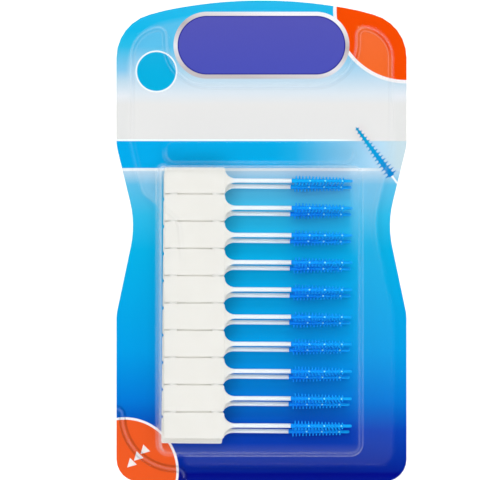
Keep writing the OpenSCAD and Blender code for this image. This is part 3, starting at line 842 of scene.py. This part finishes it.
def clear_sheet():
    """Clear polyester with a mirror; thin highlights, dark lines along every bend and a faint veil are
    painted.

    The mirror grows with the fifth power of the facing, by Schlick's rule. The camera looks through both
    faces of the sheet, so each share is half of what is seen.
    """
    f = Finish(bpy.data.materials.new("clear_sheet"))
    vector, x, y, _ = f.place()
    cavity, header, platform, bead = (
        f.node("ShaderNodeAttribute", {"attribute_name": name}, output="Fac") for name in DEPTH_NAMES)
    # Side weights for the painted highlights, as the lamps on each side would light the cavity's walls.
    on_foot = 1 - y.share(CAVITY_LOW[1], CAVITY_LOW[1] + 3)
    on_left = 1 - x.share(CAVITY_LOW[0] + 1.5, CAVITY_LOW[0] + 3)
    on_right = x.share(CAVITY_HIGH[0] - 3, CAVITY_HIGH[0] - 1.5)
    on_top = y.share(CAVITY_HIGH[1] - 2, CAVITY_HIGH[1] - 1)
    # A noise for the gloss's scuffed roughness and bump, which also makes the painted highlights and dark
    # lines patchy.
    scuffs_and_painted_patches = f.noise(vector, 0.3, 2.0, 0.6)
    patchy_painted_light = 0.7 + scuffs_and_painted_patches * 0.6
    # Painted highlights: thin pale lines along the cavity's roof edge, its foot, its left wall and its top.
    roof = f.curve(cavity, [(0.3, 0.0), (0.5, 0.13), (0.65, 0.13), (0.85, 0.01), (1.7, 0.005)])
    foot = f.curve(cavity, [
        (-0.75, 0.0), (-0.58, 0.07), (-0.42, 0.07), (-0.28, 0.02), (0.3, 0.02), (0.4, 0.0)])
    left = f.curve(cavity, [(-0.8, 0.0), (-0.5, 0.06), (0.1, 0.05), (0.35, 0.15), (1.1, 0.17), (1.5, 0.0)])
    top = f.curve(cavity, [(-0.1, 0.0), (0.05, 0.22), (0.5, 0.24), (0.6, 0.1), (0.75, 0.0)])
    rim = (roof * (on_foot + on_right * 0.5 + 0.1) + foot * (on_foot + on_left * 0.8 + on_right * 0.5))
    rim = rim * (1 - on_top) + left * on_left * (1 - on_foot) + top * on_top
    # A faint painted reflection on the right of the cavity's roof.
    pale = cavity.share(0.5, 1.1) * x.share(CAVITY_HIGH[0] - 4, CAVITY_HIGH[0] - 2) * y.share(-5, 15) * 0.05
    # Painted highlights along the header bar, the platform's walls and the bead.
    beam = f.curve(header, [
        (-0.75, 0.0), (-0.6, 0.04), (-0.35, 0.01), (0.0, 0.02), (0.15, 0.06), (0.5, 0.04), (0.9, 0.0)])
    beam = beam * (1 - y.share(25, 27.5))
    on_platform = f.curve(y, [
        (-10, 0.0), (14, 0.4), (21, 0.4), (24, 0.2), (32, 0.2), (44, 0.5), (50, 1.0)])
    step = f.curve(platform, [
        (-0.4, 0.0), (-0.15, 0.05), (0.1, 0.08), (0.4, 0.08),
        (0.7, 0.0), (1.2, 0.0), (1.45, 0.05), (1.75, 0.0)])
    peel = f.curve(bead, [(0.4, 0.0), (0.6, 0.03), (0.95, 0.035)])
    gleam = (rim + pale + beam + step * on_platform + peel) * patchy_painted_light
    # A faint painted veil of reflected light over the cavity's foot and over the raised parts, which changes
    # along the card.
    painted_foot_veil = (1 - y.share(CAVITY_LOW[1] + 0.9, CAVITY_LOW[1] + 3.6)) * cavity.share(0.7, 1.1) * 0.02
    raised = platform.share(-0.3, 0.4) * (1 - cavity.share(-0.5, 0.5))
    painted_veil = raised * f.curve(y, [
        (-60, 0.009), (-54, 0.006), (-48, 0.002), (0, 0.008), (5, 0.03), (10, 0.06), (20, 0.06), (21.4, 0.0),
        (40, 0.0), (50, 0.001), (58, 0.005)])
    # Painted shade: dark lines at the header's foot, the cavity's top ledge, the platform's crease and along
    # the bead.
    groove_shade = f.curve(header, [(-0.4, 0.0), (-0.22, 0.14), (0.0, 0.0)]) * (1 - y.share(24, 26))
    ledge_shade = f.curve(cavity, [(0.6, 0.0), (0.7, 0.2), (0.85, 0.0)]) * on_top
    crease_shade = f.curve(platform, [(0.75, 0.0), (1.0, 0.14), (1.25, 0.0)]) * on_platform
    seam_shade = f.curve(bead, [(-0.3, 0.0), (-0.05, 0.26), (0.15, 0.26), (0.4, 0.0)])
    dim = (groove_shade + ledge_shade + crease_shade + seam_shade) * patchy_painted_light
    facing = f.node("ShaderNodeLayerWeight", None, {"Blend": 0.5}, output="Facing")
    gloss = f.node("ShaderNodeBsdfGlossy", None, {
        "Color": WHITE,
        "Roughness": 0.05 + scuffs_and_painted_patches * 0.06,
        "Normal": f.bump(scuffs_and_painted_patches, 0.05, 0.3),
    })
    clear = f.node("ShaderNodeBsdfTransparent", None, {"Color": (0.994, 0.997, 1.0, 1.0)})
    dark = f.node("ShaderNodeBsdfTransparent", None, {"Color": (0.4, 0.5, 0.6, 1.0)})
    # A white matt layer lays the painted highlights and veil on the sheet, and a darker see-through layer the
    # painted dark lines.
    painted_white = f.node("ShaderNodeBsdfDiffuse", None, {"Color": (0.88, 0.95, 1.0, 1.0)})
    sheet_with_painted_light = f.layer(gleam + painted_veil + painted_foot_veil, f.layer(dim, clear, dark), painted_white)
    mirror = facing ** 5 * 0.25 + 0.003 + raised * 0.002
    return f.close(f.layer(mirror, sheet_with_painted_light, gloss))


def satin_core():
    """White polypropylene: satin, with a faint flow mark along the brush and a fine mould grain."""
    f = Finish(bpy.data.materials.new("satin_core"))
    vector, x, _, _ = f.place()
    flow = f.noise(vector, 0.25, 3.0)
    grain = f.noise(vector, 7.0, 3.0, 0.6)
    colour = f.blend(flow, ink("e6e4dd"), ink("eeece6"))
    # The stem is whiter and bluer than the grip: painted light, the blue card's light falling on and through
    # the thin stem.
    stem = x.share(-9.5, -7.5)
    shader = f.node("ShaderNodeBsdfPrincipled", None, {
        "Base Color": f.blend(stem, colour, ink("ecf3f8")),
        "Subsurface Radius": (1.0, 1.0, 1.0),
        "Specular IOR Level": 0.3,
        "Roughness": 0.36 + grain * 0.12,
        "Normal": f.bump(grain, 0.12, 0.02),
        "Subsurface Weight": 0.4,
        "Subsurface Scale": 0.3 * MM,
    })
    return f.close(shader)


def azure_rubber():
    """Soft azure rubber, with painted light: paler towards the strands' tips, where light comes through."""
    f = Finish(bpy.data.materials.new("azure_rubber"))
    vector, x, y, z = f.place()
    outward = f.node("ShaderNodeAttribute", {"attribute_name": "outward"}, output="Fac")
    cloud = f.noise(vector, 0.5, 3.0)
    # The front and rear combs' rubber get slightly different blues: painted light, which evens out the shade
    # on the rear comb.
    upper = z.share(REAR_Z + 0.8, FRONT_Z - 0.8)
    lower = f.blend(cloud, ink("008af6"), ink("0098fc"))
    colour = f.blend(upper, lower, f.blend(cloud, ink("008cf0"), ink("009cfa")))
    # Paler towards the sleeves' round ends, and paler on the top row, which is painted light.
    colour = f.blend((x.share(10, 27) * 0.6).most(y.share(12, 18) * 0.8), colour, ink("00b0f0"))
    shader = f.node("ShaderNodeBsdfPrincipled", None, {
        "Base Color": f.blend(outward * 0.3, colour, ink("18acff")),
        "Roughness": 0.4 + cloud * 0.1,
        "Normal": f.bump(f.noise(vector, 4.0), 0.15, 0.03),
        "Subsurface Weight": 0.15,
        "Subsurface Scale": 0.5 * MM,
        "Specular IOR Level": 0.08,
    })
    return f.close(shader)


def pale_window():
    """The core seen through the thin rubber of a window."""
    f = Finish(bpy.data.materials.new("pale_window"))
    vector, _, _, _ = f.place()
    colour = f.blend(f.noise(vector, 3.0), ink("58dcff"), ink("90ecff"))
    return f.close(f.node("ShaderNodeBsdfPrincipled", None, {"Base Color": colour, "Roughness": 0.3}))


# The pieces

def dress_card():
    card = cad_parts["backing_card"]
    card.data.materials.clear()
    card.data.materials.append(printed_board())


def make_shell():
    points, faces, depths = shell_surface()
    shell = new_piece("clear_blister", points, faces, "shell", [clear_sheet()])
    for name, values in zip(DEPTH_NAMES, depths):
        mark(shell, name, values)
    solid = shell.modifiers.new("sheet", "SOLIDIFY")
    solid.thickness = (SHEET_T - SEAL_GAP) * MM
    solid.offset = -1
    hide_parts("blister_shell")


def make_brushes():
    plastic, rubber, window = satin_core(), azure_rubber(), pale_window()
    sleeve_points, sleeve_faces, outward = sleeve_shape()
    window_points, window_faces = window_shape()
    points, faces = joined([(sleeve_points, sleeve_faces), (window_points, window_faces)])
    points = points + np.array([SLEEVE_X, 0, 0])
    outward = np.concatenate([outward, np.zeros(len(window_points))])
    kinds = np.repeat([0, 1], [len(sleeve_faces), len(window_faces)]).astype(np.int32)
    for comb in ("front", "rear"):
        front = comb == "front"
        for k in range(BRUSHES):
            number = f"{k + 1:02d}"
            body = f"{comb}_brush_{number}"
            core_points, core_faces = core_shape(with_ties=k < BRUSHES - 1)
            core = new_piece(f"{comb}_handle_{number}", in_comb(core_points, front, k), core_faces,
                             body, [plastic])
            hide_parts(f"{comb}_core_{number}")
            tip = new_piece(f"{comb}_tip_{number}", in_comb(points, front, k), faces,
                            body, [rubber, window])
            tip.data.polygons.foreach_set("material_index", kinds)
            mark(tip, "outward", outward)
            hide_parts(f"{comb}_sleeve_{number}")


# The studio

CAMERA_X, CAMERA_Y, CAMERA_H = -6.3, 0.3, 950.0
VIEW_W = 140.7
SENSOR_W = 36.0
FLOOR_HALF, FLOOR_DROP = 60000.0, 0.05
FLOOR_NEAR, FLOOR_FAR = 300, 1200
FLOOR_GREY, FLOOR_GLOW, ROOM_DIM = (0.86, 0.86, 0.86, 1.0), 0.3, 0.14

# The lamps stand LAMP_FAR metres off. Each has a name, an azimuth and an elevation in degrees, a width and
# a height in metres, and a radiance
LAMP_FAR = 1.3
LAMPS = (
    ("head_lamp", 90, 50, 1.4, 0.5, 3.1),
    ("foot_lamp", -90, 45, 1.4, 0.4, 3.6),
    ("left_lamp", 180, 45, 1.4, 0.4, 2.2),
    ("right_lamp", 0, 45, 1.4, 0.4, 2.0),
)


def make_camera():
    """Straight above the card, as far off as the photograph was taken, 480 pixels to VIEW_W."""
    data = bpy.data.cameras.new("camera")
    data.sensor_width = SENSOR_W
    data.lens = SENSOR_W * CAMERA_H / VIEW_W
    data.clip_start, data.clip_end = 0.05, 100.0
    camera = bpy.data.objects.new("camera", data)
    camera.location = (CAMERA_X * MM, CAMERA_Y * MM, (CAMERA_H + CARD_T) * MM)
    bpy.context.scene.collection.objects.link(camera)
    bpy.context.scene.camera = camera


def make_lamp(name, azimuth, elevation, width, height, radiance):
    """A soft oblong lamp LAMP_FAR from the pack, looking at it. The azimuth runs anticlockwise from +X.

    A lamp of area A that sends out radiance L has the power pi A L.
    """
    data = bpy.data.lights.new(name, "AREA")
    data.shape = "RECTANGLE"
    data.size, data.size_y = width, height
    data.energy = math.pi * width * height * radiance
    lamp = bpy.data.objects.new(name, data)
    turn, rise = math.radians(azimuth), math.radians(elevation)
    level = math.cos(rise)
    lamp.location = LAMP_FAR * np.array([math.cos(turn) * level, math.sin(turn) * level, math.sin(rise)])
    lamp.rotation_euler = (math.pi / 2 - rise, 0, turn + math.pi / 2)
    bpy.context.scene.collection.objects.link(lamp)


def make_floor():
    """A wide pale floor with the pack's shadow on it.

    What the camera, a mirror or glass sees of it glows a little, so that it comes out white, and far off
    it is plain white.
    """
    half, level = FLOOR_HALF * MM, -FLOOR_DROP * MM
    mesh = bpy.data.meshes.new("floor")
    mesh.from_pydata([(-half, -half, level), (half, -half, level), (half, half, level), (-half, half, level)],
                     [], [(0, 1, 2, 3)])
    floor = bpy.data.objects.new("floor", mesh)
    bpy.context.scene.collection.objects.link(floor)
    f = Finish(bpy.data.materials.new("pale_floor"))
    camera, glossy, through = (
        f.node("ShaderNodeLightPath", output=name)
        for name in ("Is Camera Ray", "Is Glossy Ray", "Is Transmission Ray"))
    matt = f.node("ShaderNodeBsdfDiffuse", None, {"Color": FLOOR_GREY})
    glow = f.node("ShaderNodeEmission", None, {"Color": WHITE, "Strength": FLOOR_GLOW})
    white = f.node("ShaderNodeEmission", None, {"Color": WHITE, "Strength": 1.0})
    lit = f.node("ShaderNodeAddShader", None, {0: matt, 1: glow})
    _, x, y, _ = f.place()
    ground = f.layer(span(x, y).share(FLOOR_NEAR, FLOOR_FAR), lit, white)
    mesh.materials.append(f.close(f.layer(camera.most(glossy).most(through), matt, ground)))


def make_world():
    """A pale room, white at the horizon and dim overhead."""
    f = Finish(bpy.data.worlds.new("room"), "ShaderNodeOutputWorld")
    view = f.node("ShaderNodeTexCoord", output="Generated")
    up = f.node("ShaderNodeSeparateXYZ", None, {0: view}, output=2)
    height = up.share(0.0, 0.6) * 0.7 + up.share(0.6, 1.0) * 0.3
    horizon = f.node("ShaderNodeBackground", None, {"Color": WHITE, "Strength": 1.0})
    overhead = f.node("ShaderNodeBackground", None, {"Color": WHITE, "Strength": ROOM_DIM})
    bpy.context.scene.world = f.close(f.layer(height, horizon, overhead))


make_camera()
dress_card()
make_shell()
make_brushes()
make_floor()
make_world()
for lamp in LAMPS:
    make_lamp(*lamp)
bpy.context.scene.view_settings.view_transform = "Standard"
